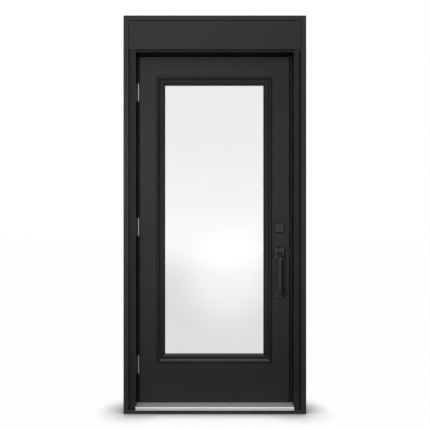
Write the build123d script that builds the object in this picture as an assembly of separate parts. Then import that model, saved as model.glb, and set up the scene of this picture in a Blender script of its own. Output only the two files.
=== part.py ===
from build123d import *
import os

os.makedirs("parts", exist_ok=True)

# Lengths are in millimetres. X runs to the right seen from outside, Y runs into the house
# and Z runs up. The origin lies on the floor under the middle of the doorway, on the plane
# of the casing's back.

# Whole door with its casing
overall_width = 1070.0
overall_height = 2332.0

# Leaf in the doorway
hinge_reveal = 10.5
strike_reveal = 17.5
slab_thickness = 44.5
slab_lift = 64.0
slab_setback = 58.0
edge_gap = 3.0
head_gap = 5.0

# Posts and head of the frame
jamb_depth = 166.7
jamb_thickness = 32.0
shoulder_set = 2.0
stop_height = 12.7
eased_edge = 1.5
fixing_radius = 2.75
fixing_inset = 16.0
fixing_spacing_deep = 24.0
fixing_from_floor = 288.0
fixing_from_top = 263.0

# Seals
seal_space = 8.0
seal_touch = 0.4
seal_set = 1.0
seal_round = 3.0
kerf_set = 4.0
kerf_width = 3.0
kerf_depth = 9.0
tail_clear = 0.2

# Sill
base_height = 20.4
nose_proud = 1.0
nose_height = 40.0
nose_radius = 8.0
tread_height = 41.5
tread_lead = 4.0
ridge_height = 76.0
ridge_width = 16.0
ridge_round = 3.0
sill_back_height = 45.0
cover_wall = 2.0
sill_seal_height = 11.0
sill_seal_drop = 2.0

# Casing
casing_depth = 32.0
mould_width = 42.5
band_width = 28.5
band_corner = 6.0
band_edge = 2.0
head_mould_height = 15.0
panel_depth = 27.0
panel_height = 169.5
panel_chamfer = 2.0
# Moulding section from the doorway outwards: share of its width, share of the casing's
# depth, and share of its width as the corner's radius
mould_shares = [
    (0.0, 0.0, 0.0),
    (0.0, 0.72, 0.04),
    (0.21, 0.68, 0.08),
    (0.64, 0.92, 0.12),
    (0.89, 0.62, 0.05),
    (1.0, 0.62, 0.0),
    (1.0, 0.0, 0.0),
]

# Hinges
hinge_height = 102.0
top_hinge_drop = 214.5
middle_hinge_lift = 1030.0
bottom_hinge_lift = 205.0
barrel_radius = 4.75
barrel_from_edge = 5.1
barrel_proud = 3.5
pin_radius = 2.5
pin_fit = 0.05
pin_head_radius = 4.2
pin_head_height = 2.6
pin_head_chamfer = 0.9
leaf_thickness = 2.4
leaf_reach = 40.0
leaf_corner = 6.0
knuckle_count = 5
knuckle_gap = 0.4
knuckle_relief = 0.4
mortise_clear = 0.1
hinge_screw_rows = ((14.0, 38.0), (26.0, 14.0), (26.0, -14.0), (14.0, -38.0))

# Screws
screw_head_radius = 4.0
screw_head_height = 2.0
screw_radius = 2.0
screw_length = 20.0
screw_fit = 0.05

# Steel skins and what is between them
skin_thickness = 0.7
skin_return = 18.0
skin_bend = 1.6
stile_width = 32.0
stile_chamfer = 1.2
rail_height = 40.0
lock_block_width = 84.0
lock_block_below = 88.3
lock_block_above = 92.0

# Glazing
lite_side_margin = 104.0
lite_head_margin = 116.0
lite_foot_margin = 215.0
lite_frame_width = 49.0
lite_overlap = 20.0
lite_proud = 11.0
lite_leg_clear = 1.0
lite_leg_thickness = 8.5
lite_leg_gap = 0.5
lite_lip_thickness = 5.0
lite_lip_slope = 2.5
# Face of the glazing frame from its outer edge to the glass: share of its width, share of
# its height over the skin, and share of its width as the corner's radius
lite_face_shares = [
    (0.0, 0.0, 0.0),
    (0.0, 0.36, 0.03),
    (0.09, 1.0, 0.07),
    (0.31, 0.86, 0.06),
    (0.46, 0.24, 0.04),
    (0.89, 0.12, 0.03),
    (1.0, -0.30, 0.02),
]
glass_unit_thickness = 25.4
pane_thickness = 4.0
pane_bite = 19.0
spacer_width = 9.0
spacer_inset = 3.0
lite_screw_set = 26.5
lite_screw_head_radius = 3.2
lite_screw_head_height = 1.8
lite_screw_radius = 1.6
lite_screw_length = 36.0
lite_screw_seat_share = 0.24
lite_screw_side_shares = (-0.42, -0.14, 0.14, 0.42)
lite_screw_end_shares = (-0.28, 0.28)

# Seal under the leaf
sweep_inset = 1.0
sweep_plate = 3.0
sweep_lip = 3.0
sweep_lip_height = 5.0
sweep_fin = 2.0
sweep_clear = 0.6
sweep_fin_shares = (0.12, 0.5, 0.86)

# Locks
backset = 60.3
deadbolt_height = 1088.0
lock_spacing = 139.7
cross_bore_radius = 27.0
edge_bore_radius = 12.0
tube_radius = 11.8
tube_bore_radius = 10.7
tube_past_hub = 12.0
faceplate_width = 25.4
faceplate_height = 57.0
faceplate_thickness = 2.3
faceplate_corner = 4.0
faceplate_clear = 0.2
faceplate_screw_offset = 21.0
bolt_fit = 0.15
deadbolt_radius = 10.4
deadbolt_flat = 14.0
deadbolt_length = 46.0
deadbolt_chamfer = 1.0
latch_radius = 8.6
latch_flat = 12.4
latch_length = 44.0
latch_bevel = 9.0
latch_throw = 12.7
hub_hole_radius = 6.6
strike_thickness = 2.0
strike_half_width = 14.0
latch_strike_height = 57.0
deadbolt_strike_height = 70.0
strike_hole_width = 22.0
strike_hole_height = 27.0
strike_hole_depth = 26.0
strike_screw_inset = 7.0

# Outer and inner trim of the locks
rosette_size = 60.0
rosette_taper_angle = 16.0
rosette_depth = 18.0
turn_rosette_depth = 13.0
knob_rosette_depth = 10.0
trim_corner = 2.0
cylinder_radius = 16.2
cylinder_fit = 0.1
cylinder_proud = 1.5
cylinder_end = 8.0
plug_radius = 6.4
plug_fit = 0.05
plug_proud = 0.6
keyway_width = 2.2
keyway_height = 8.6
keyway_depth = 14.0
post_radius = 3.4
post_length = 22.0
post_offset = 20.0
handle_post_across = 16.0
handle_post_drop = 17.0
bolt_radius = 2.0
bolt_reach = 14.0
bolt_head_radius = 3.8
bolt_head_height = 2.0
turn_shaft_radius = 6.0
turn_shaft_fit = 0.05
turn_wing_length = 40.0
turn_wing_thickness = 9.0
turn_wing_depth = 15.0
turn_wing_round = 4.0
turn_collar_depth = 3.0
blade_width = 6.0
blade_thickness = 2.0
blade_clear = 1.0

# Pull handle
handle_plate_width = 75.0
handle_plate_face = 56.0
handle_plate_below = 51.3
handle_plate_above = 19.7
handle_plate_depth = 14.0
handle_plate_edge = 1.0
grip_drop = 38.3
grip_length = 210.0
grip_standoff = 62.0
grip_bend = 20.0
grip_back_width = 27.0
grip_front_width = 11.0
grip_depth = 15.0
grip_round = 1.2
grip_base_width = 58.0
grip_base_below = 34.0
grip_base_above = 30.0
grip_base_depth = 14.0
grip_base_taper_angle = 25.0
base_post_radius = 4.0
base_post_fit = 0.4
base_bolt_head_radius = 7.0
base_bolt_head_height = 3.0
thumb_width = 30.0
thumb_length = 45.0
thumb_thickness = 4.0
thumb_round = 9.0
thumb_root_length = 7.0
thumb_tail_width = 7.0
thumb_tail_length = 16.0
thumb_pivot_drop = 10.3
thumb_pivot_depth = 8.0
thumb_pressed_angle = 16.0
thumb_trunnion_radius = 2.0
thumb_trunnion_length = 4.0
thumb_trunnion_fit = 0.06
thumb_slot_clear = 0.5
thumb_slot_half = 5.6

# Inner knob
knob_shank_radius = 11.0
knob_shank_fit = 0.06
knob_radius = 27.0
knob_length = 64.0
knob_neck = 26.0
knob_neck_round = 3.0
knob_inset = 1.5
# Knob section along its shaft: share of its radius, share of its length, and share of its
# radius as the corner's radius
knob_shares = [
    (0.76, 0.47, 0.20),
    (1.0, 0.66, 0.25),
    (1.0, 0.86, 0.30),
    (0.74, 1.0, 0.35),
    (0.0, 1.0, 0.0),
]
spindle_size = 8.0
spindle_past_hub = 8.0

overrun = 5.0

# Places that follow from the sizes above
half_width = overall_width / 2
panel_half = half_width - band_width
opening_half = panel_half - mould_width
seal_width = stop_height - seal_set
slab_left = -opening_half + hinge_reveal
slab_right = opening_half - strike_reveal
panel_top = overall_height - band_width
panel_bottom = panel_top - panel_height
soffit = panel_bottom - head_mould_height
slab_top = soffit - head_gap
slab_front = slab_setback
slab_back = slab_front + slab_thickness
slab_middle = (slab_front + slab_back) / 2
hinge_pocket = slab_left - edge_gap
strike_pocket = slab_right + edge_gap
hinge_outer = hinge_pocket - jamb_thickness
strike_outer = strike_pocket + jamb_thickness
shoulder = slab_front + shoulder_set
stop_front = slab_back + seal_space
jamb_top = soffit + jamb_thickness
fixing_heights = (fixing_from_floor, jamb_top - fixing_from_top)
hinge_heights = (
    slab_top - top_hinge_drop,
    slab_lift + middle_hinge_lift,
    slab_lift + bottom_hinge_lift,
)
door_leaf_face = slab_left - leaf_thickness
hinge_x = slab_left - barrel_from_edge
hinge_y = slab_front - barrel_proud
lite_x = (slab_left + slab_right) / 2
lite_width = slab_right - slab_left - 2 * lite_side_margin
lite_bottom = slab_lift + lite_foot_margin
lite_height = slab_top - lite_head_margin - lite_bottom
lite_z = lite_bottom + lite_height / 2
cutout_width = lite_width - 2 * lite_overlap
cutout_height = lite_height - 2 * lite_overlap
pane_width = lite_width - 2 * (lite_frame_width - pane_bite)
pane_height = lite_height - 2 * (lite_frame_width - pane_bite)
glass_front = slab_middle - glass_unit_thickness / 2
glass_back = slab_middle + glass_unit_thickness / 2
lock_x = slab_right - backset
latch_height = deadbolt_height - lock_spacing
lock_block_bottom = latch_height - lock_block_below
lock_block_top = deadbolt_height + lock_block_above
handle_plate_bottom = latch_height - handle_plate_below
handle_plate_top = latch_height + handle_plate_above
grip_top = latch_height - grip_drop
grip_bottom = grip_top - grip_length
grip_base_bottom = grip_bottom - grip_base_below
grip_base_top = grip_bottom + grip_base_above
grip_base_height = (grip_base_bottom + grip_base_top) / 2
thumb_pivot_height = latch_height - thumb_pivot_drop
handle_front = slab_front - handle_plate_depth
grip_base_front = slab_front - grip_base_depth
thumb_y = slab_front - thumb_pivot_depth


def block(x_span, y_span, z_span):
    """Box between two places on each axis."""
    middles = [(span[0] + span[1]) / 2 for span in (x_span, y_span, z_span)]
    sizes = [abs(span[1] - span[0]) for span in (x_span, y_span, z_span)]
    return Pos(*middles) * Box(*sizes)


def rod_x(y, z, x_span, radius):
    """Round bar along X."""
    middle = (x_span[0] + x_span[1]) / 2
    return Pos(middle, y, z) * Rot(0, 90, 0) * Cylinder(radius, abs(x_span[1] - x_span[0]))


def rod_y(x, z, y_span, radius):
    """Round bar along Y."""
    middle = (y_span[0] + y_span[1]) / 2
    return Pos(x, middle, z) * Rot(90, 0, 0) * Cylinder(radius, abs(y_span[1] - y_span[0]))


def rod_z(x, y, z_span, radius):
    """Round bar along Z."""
    middle = (z_span[0] + z_span[1]) / 2
    return Pos(x, y, middle) * Cylinder(radius, abs(z_span[1] - z_span[0]))


def section(points, radii):
    """Closed outline with rounded corners."""
    return make_face(FilletPolyline(*points, radius=radii, close=True))


def upright(face, z_span):
    """Outline in X and Y, drawn out along Z."""
    return Pos(0, 0, z_span[0]) * extrude(face, amount=z_span[1] - z_span[0])


def crosswise(face, x_span):
    """Outline in Y and Z, drawn out along X."""
    return Pos(x_span[0], 0, 0) * extrude(Plane.YZ * face, amount=x_span[1] - x_span[0])


def fore_and_aft(face, y_span):
    """Outline in X and Z, drawn out along Y."""
    return Pos(0, y_span[1], 0) * extrude(Plane.XZ * face, amount=y_span[1] - y_span[0])


def flat_screw(head_radius, head_height, radius, length, extra):
    """Countersunk screw along -Z with its head's face at zero, grown by a clearance."""
    head = Pos(0, 0, -head_height / 2) * Cone(radius + extra, head_radius + extra, head_height)
    shank = Pos(0, 0, -length / 2) * Cylinder(radius + extra, length)
    return head + shank


def wood_screw(x, y, z, way, extra):
    """Screw driven along X, to the right for a way of 1 and to the left for -1."""
    screw = flat_screw(screw_head_radius, screw_head_height, screw_radius, screw_length, extra)
    return Pos(x, y, z) * Rot(0, -90 * way, 0) * screw


def hinge_screw_places(face_x):
    """Places of the screws in one face of all three hinges."""
    return [
        (face_x, hinge_y + across, height + up)
        for height in hinge_heights
        for across, up in hinge_screw_rows
    ]


def knuckle_span(height, index):
    """Heights between which one knuckle of a hinge lies."""
    pitch = hinge_height / knuckle_count
    start = height - hinge_height / 2 + index * pitch
    return (start + knuckle_gap / 2, start + pitch - knuckle_gap / 2)


def hinge_leaf(height, own_knuckles, face_x, way):
    """Plate of a hinge with its own knuckles, clear of the other plate's knuckles."""
    x_span = (face_x, face_x + way * leaf_thickness)
    z_span = (height - hinge_height / 2, height + hinge_height / 2)
    plate = block(x_span, (hinge_y, hinge_y + leaf_reach), z_span)
    back_edges = plate.edges().filter_by(Axis.X).group_by(Axis.Y)[-1]
    leaf = fillet(back_edges, leaf_corner)
    for index in range(knuckle_count):
        span = knuckle_span(height, index)
        if index in own_knuckles:
            leaf += rod_z(hinge_x, hinge_y, span, barrel_radius)
        else:
            wide_span = (span[0] - knuckle_gap, span[1] + knuckle_gap)
            leaf -= rod_z(hinge_x, hinge_y, wide_span, barrel_radius + knuckle_relief)
    bore_span = (z_span[0] - overrun, z_span[1] + overrun)
    leaf -= rod_z(hinge_x, hinge_y, bore_span, pin_radius + pin_fit)
    for across, up in hinge_screw_rows:
        leaf -= wood_screw(face_x, hinge_y + across, height + up, way, screw_fit)
    return leaf


def hinge_pin(height):
    """Loose pin with a button at each end."""
    bottom = height - hinge_height / 2
    top = height + hinge_height / 2
    pin = rod_z(hinge_x, hinge_y, (bottom, top), pin_radius)
    upper = rod_z(hinge_x, hinge_y, (top, top + pin_head_height), pin_head_radius)
    lower = rod_z(hinge_x, hinge_y, (bottom - pin_head_height, bottom), pin_head_radius)
    upper = chamfer(upper.edges().group_by(Axis.Z)[-1], pin_head_chamfer)
    lower = chamfer(lower.edges().group_by(Axis.Z)[0], pin_head_chamfer)
    return pin + upper + lower


# Frame posts

def plain_jamb(pocket, side):
    """Rebated post; side is -1 for the hinge side and 1 for the lock side."""
    outer = pocket + side * jamb_thickness
    wall = side * opening_half
    stop_edge = pocket - side * stop_height
    points = [
        (outer, 0),
        (wall, 0),
        (wall, shoulder),
        (pocket, shoulder),
        (pocket, stop_front),
        (stop_edge, stop_front),
        (stop_edge, jamb_depth),
        (outer, jamb_depth),
    ]
    face = section(points, [0, 0, 0, 0, 0, eased_edge, eased_edge, 0])
    return upright(face, (base_height, jamb_top))


def jamb(pocket, side):
    """Post with the kerf of its seal and the holes that fix it to the wall."""
    post = plain_jamb(pocket, side)
    outer = pocket + side * jamb_thickness
    stop_edge = pocket - side * stop_height
    kerf_start = pocket - side * kerf_set
    kerf_end = kerf_start - side * kerf_width
    kerf_y_span = (stop_front - overrun, stop_front + kerf_depth)
    post -= block((kerf_start, kerf_end), kerf_y_span, (base_height - overrun, soffit))
    for y in (stop_front + fixing_inset, stop_front + fixing_inset + fixing_spacing_deep):
        for z in fixing_heights:
            x_span = (outer + side * overrun, stop_edge - side * overrun)
            post -= rod_x(y, z, x_span, fixing_radius)
    return post


def hinge_post():
    """Post with a mortise and screw holes for each hinge."""
    post = jamb(hinge_pocket, -1)
    for height in hinge_heights:
        half = hinge_height / 2 + mortise_clear
        y_span = (shoulder - overrun, hinge_y + leaf_reach + mortise_clear)
        x_span = (hinge_pocket - leaf_thickness, hinge_pocket + overrun)
        post -= block(x_span, y_span, (height - half, height + half))
    for x, y, z in hinge_screw_places(hinge_pocket):
        post -= wood_screw(x, y, z, -1, screw_fit)
    return post


def strike_screw_places():
    """Places of the screws of both strikes, on the face of the lock post."""
    places = []
    for height, tall in strike_rows:
        for step in (-1, 1):
            places.append((strike_pocket, slab_middle, height + step * (tall / 2 - strike_screw_inset)))
    return places


def strike_hole(height, depth):
    """Hole behind a strike, as wide as the hole of the strike."""
    y_span = (slab_middle - strike_hole_width / 2, slab_middle + strike_hole_width / 2)
    z_span = (height - strike_hole_height / 2, height + strike_hole_height / 2)
    return block((strike_pocket - overrun, strike_pocket + depth), y_span, z_span)


def strike_plate(height, tall, extra):
    """Flat strike that reaches to the post's shoulder, grown by a clearance."""
    y_span = (shoulder - extra, slab_middle + strike_half_width + extra)
    z_span = (height - tall / 2 - extra, height + tall / 2 + extra)
    return block((strike_pocket, strike_pocket + strike_thickness), y_span, z_span)


def strike(height, tall):
    """Strike with its bolt hole and screw holes."""
    plate = strike_plate(height, tall, 0)
    plate = fillet(plate.edges().filter_by(Axis.X).group_by(Axis.Y)[-1], faceplate_corner)
    plate -= strike_hole(height, strike_hole_depth)
    for x, y, z in strike_screw_places():
        plate -= wood_screw(x, y, z, 1, screw_fit)
    return plate


def strike_post():
    """Post with the recesses of both strikes."""
    post = jamb(strike_pocket, 1)
    for height, tall in strike_rows:
        post -= strike_plate(height, tall, mortise_clear)
        post -= strike_hole(height, strike_hole_depth)
    for x, y, z in strike_screw_places():
        post -= wood_screw(x, y, z, 1, screw_fit)
    return post


def head_rail():
    """Rebated head, coped round the posts."""
    points = [
        (0, soffit),
        (stop_front, soffit),
        (stop_front, soffit - stop_height),
        (jamb_depth, soffit - stop_height),
        (jamb_depth, jamb_top),
        (0, jamb_top),
    ]
    face = section(points, [0, 0, eased_edge, eased_edge, 0, 0])
    rail = crosswise(face, (-opening_half, opening_half)) - posts
    kerf_y_span = (stop_front - overrun, stop_front + kerf_depth)
    kerf_z_span = (soffit - kerf_set - kerf_width, soffit - kerf_set)
    return rail - block((-opening_half, opening_half), kerf_y_span, kerf_z_span)


def seal_outline(edge, inward):
    """Seal section as places across the stop and along Y, with its tail in the kerf."""
    near = edge + inward * seal_set
    far = near + inward * seal_width
    tail_near = edge + inward * (kerf_set + tail_clear)
    tail_far = edge + inward * (kerf_set + kerf_width - tail_clear)
    front = slab_back + seal_touch
    tail_end = stop_front + kerf_depth - tail_clear
    return [
        (near, front),
        (far, front),
        (far, stop_front),
        (tail_far, stop_front),
        (tail_far, tail_end),
        (tail_near, tail_end),
        (tail_near, stop_front),
        (near, stop_front),
    ]


seal_radii = [seal_round, seal_round, 0, 0, 0, 0, 0, 0]


def side_seal(pocket, inward):
    """Upright seal from the tread to the head."""
    face = section(seal_outline(pocket, inward), seal_radii)
    return upright(face, (tread_height, soffit))


def head_seal():
    """Seal along the head, between the upright seals."""
    points = [(y, z) for z, y in seal_outline(soffit, -1)]
    return crosswise(section(points, seal_radii), seal_x_span)


# Sill

def sill_face():
    """Section of the tread, from its nosing to its back edge."""
    bottom = base_height - cover_wall
    points = [
        (-casing_depth - nose_proud, bottom),
        (-casing_depth - nose_proud, nose_height),
        (slab_front - tread_lead, tread_height),
        (stop_front, tread_height),
        (stop_front, ridge_height),
        (stop_front + ridge_width, ridge_height),
        (jamb_depth, sill_back_height),
        (jamb_depth, bottom),
    ]
    return section(points, [0, nose_radius, 0, 0, ridge_round, ridge_round, ridge_round, 0])


def sill_core_face():
    """Section of the space under the folded tread."""
    return offset(sill_face(), amount=-cover_wall, kind=Kind.INTERSECTION)


def tread_cover():
    """Folded tread, coped round the posts."""
    cover = crosswise(sill_face() - sill_core_face(), (-opening_half, opening_half))
    y_span = (-casing_depth - nose_proud - overrun, jamb_depth + overrun)
    x_span = (-opening_half - overrun, opening_half + overrun)
    cover -= block(x_span, y_span, (base_height - cover_wall - overrun, base_height))
    return cover - posts


def base_board():
    """Base with its horns under the casing and its core under the tread."""
    points = [
        (-half_width, 0),
        (half_width, 0),
        (half_width, base_height),
        (-half_width, base_height),
    ]
    fascia = fore_and_aft(section(points, [band_corner, band_corner, 0, 0]), (-casing_depth, 0))
    fascia = fillet(fascia.faces().sort_by(Axis.Y)[0].edges(), band_edge)
    bed = block((hinge_outer, strike_outer), (0, jamb_depth), (0, base_height))
    core = crosswise(sill_core_face(), (-opening_half, opening_half)) - posts
    return fascia + bed + core


def ridge_seal():
    """Bulb on the front of the sill's ridge."""
    bottom = ridge_height - sill_seal_drop - sill_seal_height
    points = [
        (slab_back + seal_touch, bottom),
        (stop_front, bottom),
        (stop_front, bottom + sill_seal_height),
        (slab_back + seal_touch, bottom + sill_seal_height),
    ]
    return crosswise(section(points, [seal_round, 0, 0, seal_round]), seal_x_span)


# Casing

def mould_outline():
    """Moulding section as places outwards from the doorway and forward of the wall."""
    return [(across * mould_width, forward * casing_depth) for across, forward, turn in mould_shares]


mould_radii = [turn * mould_width for across, forward, turn in mould_shares]


def side_moulding(side):
    """Upright moulding, butted under the head panel and mitred to the head moulding."""
    points = [(side * (opening_half + across), -forward) for across, forward in mould_outline()]
    piece = upright(section(points, mould_radii), (base_height, panel_bottom))
    corner = [
        (side * opening_half, soffit),
        (side * (opening_half + head_mould_height), panel_bottom),
        (side * opening_half, panel_bottom),
    ]
    return piece - fore_and_aft(make_face(Polyline(*corner, close=True)), (-casing_depth, 0))


def head_moulding_piece():
    """Strip of the moulding that shows under the head panel, mitred at both ends."""
    points = [(-forward, soffit + across) for across, forward in mould_outline()]
    piece = crosswise(section(points, mould_radii), (-panel_half, panel_half))
    reach = opening_half + head_mould_height
    strip = [
        (-opening_half, soffit),
        (opening_half, soffit),
        (reach, panel_bottom),
        (-reach, panel_bottom),
    ]
    return piece & fore_and_aft(make_face(Polyline(*strip, close=True)), (-casing_depth, 0))


def band_ring():
    """Outer casing in one, before its mitres."""
    points = [
        (-half_width, base_height),
        (-half_width, overall_height),
        (half_width, overall_height),
        (half_width, base_height),
        (panel_half, base_height),
        (panel_half, panel_top),
        (-panel_half, panel_top),
        (-panel_half, base_height),
    ]
    face = section(points, [0, band_corner, band_corner, 0, 0, 0, 0, 0])
    ring = fore_and_aft(face, (-casing_depth, 0))
    return fillet(ring.faces().sort_by(Axis.Y)[0].edges(), band_edge)


def band_mitre():
    """Wedge that the top piece of the outer casing fills."""
    points = [
        (-half_width - overrun, overall_height + overrun),
        (half_width + overrun, overall_height + overrun),
        (panel_half - overrun, panel_top - overrun),
        (-panel_half + overrun, panel_top - overrun),
    ]
    return fore_and_aft(make_face(Polyline(*points, close=True)), (-casing_depth - overrun, overrun))


def side_half(side):
    """Everything on one side of the middle."""
    x_span = (0, side * (half_width + overrun))
    return block(x_span, (-casing_depth - overrun, overrun), (0, overall_height + overrun))


def panel_board():
    """Flat board over the head with a chamfered face."""
    board = block((-panel_half, panel_half), (-panel_depth, 0), (panel_bottom, panel_top))
    return chamfer(board.faces().sort_by(Axis.Y)[0].edges(), panel_chamfer)


# Leaf

def cutout(y_span):
    """Opening for the glazing."""
    x_span = (lite_x - cutout_width / 2, lite_x + cutout_width / 2)
    z_span = (lite_z - cutout_height / 2, lite_z + cutout_height / 2)
    return block(x_span, y_span, z_span)


def lock_bores():
    """Bores through the leaf and in from its edge for both locks, and for the grip's post."""
    y_span = (slab_front - overrun, slab_back + overrun)
    post_span = (slab_front - overrun, slab_middle + overrun)
    bores = rod_y(lock_x, grip_base_height, post_span, base_post_radius + base_post_fit)
    bores += rod_y(lock_x, grip_base_height, y_span, bolt_radius + base_post_fit)
    for height in (deadbolt_height, latch_height):
        bores += rod_y(lock_x, height, y_span, cross_bore_radius)
        bores += rod_x(slab_middle, height, (lock_x, slab_right + overrun), edge_bore_radius)
    return bores


def faceplate(height, extra):
    """Plate let into the leaf's edge, grown by a clearance."""
    y_span = (slab_middle - faceplate_width / 2 - extra, slab_middle + faceplate_width / 2 + extra)
    z_span = (height - faceplate_height / 2 - extra, height + faceplate_height / 2 + extra)
    plate = block((slab_right - faceplate_thickness, slab_right), y_span, z_span)
    return fillet(plate.edges().filter_by(Axis.X), faceplate_corner)


def faceplate_screw_places():
    """Places of the screws of both lock faceplates."""
    return [
        (slab_right, slab_middle, height + step * faceplate_screw_offset)
        for height in (deadbolt_height, latch_height)
        for step in (-1, 1)
    ]


def leaf_holes():
    """Everything that is bored or cut from the leaf's skins, edges and core."""
    holes = lock_bores()
    for height in (deadbolt_height, latch_height):
        holes += faceplate(height, faceplate_clear)
    for x, y, z in faceplate_screw_places():
        holes += wood_screw(x, y, z, -1, screw_fit)
    for x, y, z in hinge_screw_places(door_leaf_face):
        holes += wood_screw(x, y, z, 1, screw_fit)
    return holes


def skin_pan():
    """Outer skin: a face with a bent return along each upright edge."""
    back = slab_front + skin_return
    points = [(slab_left, slab_front), (slab_right, slab_front), (slab_right, back), (slab_left, back)]
    left = slab_left + skin_thickness
    right = slab_right - skin_thickness
    inner = slab_front + skin_thickness
    inner_bend = skin_bend - skin_thickness
    hollow = [(left, inner), (right, inner), (right, back + overrun), (left, back + overrun)]
    face = section(points, [skin_bend, skin_bend, 0, 0])
    face -= section(hollow, [inner_bend, inner_bend, 0, 0])
    pan = upright(face, (slab_lift, slab_top))
    return pan - cutout((slab_front - overrun, slab_back + overrun))


def stile(x_span, outer_edge):
    """Timber edge of the leaf with its outer corners eased to the bends of the skins."""
    y_span = (slab_front + skin_thickness, slab_back - skin_thickness)
    piece = block(x_span, y_span, (slab_lift, slab_top))
    edges = piece.edges().filter_by(Axis.Z).group_by(Axis.X)[outer_edge]
    return chamfer(edges, stile_chamfer)


def rail(z_span):
    """Timber rail between the stiles."""
    y_span = (slab_front + skin_thickness, slab_back - skin_thickness)
    return block((slab_left + stile_width, slab_right - stile_width), y_span, z_span)


def block_behind_locks():
    """Timber block beside the lock stile."""
    x_span = (slab_right - stile_width - lock_block_width, slab_right - stile_width)
    y_span = (slab_front + skin_thickness, slab_back - skin_thickness)
    return block(x_span, y_span, (lock_block_bottom, lock_block_top))


def core():
    """Insulation between the timber pieces, round the glazing."""
    filling = rail((slab_lift + rail_height, slab_top - rail_height))
    filling -= cutout((slab_front - overrun, slab_back + overrun))
    filling -= block_behind_locks()
    return filling - holes_in_leaf


# Glazing

def lite_section():
    """Glazing frame section: across from its outer edge, and forward of the skin."""
    points = [
        (across * lite_frame_width, forward * lite_proud)
        for across, forward, turn in lite_face_shares
    ]
    radii = [turn * lite_frame_width for across, forward, turn in lite_face_shares]
    leg_near = lite_overlap + lite_leg_clear
    leg_far = leg_near + lite_leg_thickness
    leg_end = -slab_thickness / 2 + lite_leg_gap
    lip_back = slab_front - glass_front
    points += [
        (lite_frame_width, lip_back + lite_lip_thickness),
        (lite_frame_width - lite_lip_slope, lip_back),
        (leg_far, lip_back),
        (leg_far, leg_end),
        (leg_near, leg_end),
        (leg_near, 0),
    ]
    return section(points, radii + [0, 0, 0, 0, 0, 0])


def lite_bar(length):
    """One mitred bar of the glazing frame with its outer edge along Z."""
    bar = extrude(Pos(0, 0, -length / 2) * mirror(lite_section(), about=Plane.XZ), amount=length)
    shape = [
        (0, -length / 2),
        (0, length / 2),
        (lite_frame_width, length / 2 - lite_frame_width),
        (lite_frame_width, -length / 2 + lite_frame_width),
    ]
    mitre_face = make_face(Polyline(*shape, close=True))
    return bar & fore_and_aft(mitre_face, (-lite_proud - overrun, slab_thickness))


def lite_ring():
    """Outer glazing frame, its four bars welded at the mitres."""
    upright_bar = Pos(-lite_width / 2, 0, 0) * lite_bar(lite_height)
    level_bar = Pos(-lite_height / 2, 0, 0) * lite_bar(lite_width)
    ring = upright_bar + Rot(0, 180, 0) * upright_bar
    ring += Rot(0, 90, 0) * level_bar
    ring += Rot(0, -90, 0) * level_bar
    return Pos(lite_x, slab_front, lite_z) * ring


def lite_screw_places():
    """Places of the screws round the inner glazing frame."""
    across = lite_width / 2 - lite_screw_set
    up = lite_height / 2 - lite_screw_set
    places = []
    for side in (-1, 1):
        for share in lite_screw_side_shares:
            places.append((lite_x + side * across, lite_z + share * lite_height))
        for share in lite_screw_end_shares:
            places.append((lite_x + share * lite_width, lite_z + side * up))
    return places


def lite_screw(x, z, extra):
    """Screw from inside with its head flush in the inner glazing frame."""
    head = (lite_screw_head_radius, lite_screw_head_height)
    screw = flat_screw(*head, lite_screw_radius, lite_screw_length, extra)
    return Pos(x, slab_back + lite_proud * lite_screw_seat_share, z) * Rot(-90, 0, 0) * screw


def pane(front):
    """One sheet of glass."""
    x_span = (lite_x - pane_width / 2, lite_x + pane_width / 2)
    z_span = (lite_z - pane_height / 2, lite_z + pane_height / 2)
    return block(x_span, (front, front + pane_thickness), z_span)


def spacer():
    """Closed bar that keeps the panes apart."""
    y_span = (glass_front + pane_thickness, glass_back - pane_thickness)
    outer_half = (pane_width / 2 - spacer_inset, pane_height / 2 - spacer_inset)
    inner_half = (outer_half[0] - spacer_width, outer_half[1] - spacer_width)
    bars = [
        block((lite_x - across, lite_x + across), y_span, (lite_z - up, lite_z + up))
        for across, up in (outer_half, inner_half)
    ]
    return bars[0] - bars[1]


def sweep_strip():
    """Seal with a front lip and fins that reach down to the tread."""
    fin_bottom = tread_height + sweep_clear
    plate_bottom = slab_lift - sweep_plate
    x_span = (slab_left + sweep_inset, slab_right - sweep_inset)
    lip_y_span = (slab_front - sweep_lip, slab_front)
    strip = block(x_span, (slab_front, slab_back), (plate_bottom, slab_lift))
    strip += block(x_span, lip_y_span, (plate_bottom, slab_lift + sweep_lip_height))
    strip += block(x_span, (lip_y_span[0], lip_y_span[0] + sweep_fin), (fin_bottom, slab_lift))
    for share in sweep_fin_shares:
        start = slab_front + share * slab_thickness
        strip += block(x_span, (start, start + sweep_fin), (fin_bottom, slab_lift))
    return strip


# Locks

def tapered_block(z, width, height, depth, angle):
    """Block on the outer skin over the locks' axis; its sides slope in towards its face."""
    face = Plane.XZ * RectangleRounded(width, height, trim_corner)
    return Pos(lock_x, slab_front, z) * extrude(face, amount=depth, taper=angle)


def to_inside(piece):
    """The same piece on the inner skin."""
    return mirror(piece, about=Plane.XZ.offset(-slab_middle))


def flattened_bar(radius, flat, height, x_span):
    """Round bar along X with a flat at the front and back."""
    bar = rod_x(slab_middle, height, x_span, radius)
    y_span = (slab_middle - flat / 2, slab_middle + flat / 2)
    return bar & block(x_span, y_span, (height - radius, height + radius))


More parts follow.
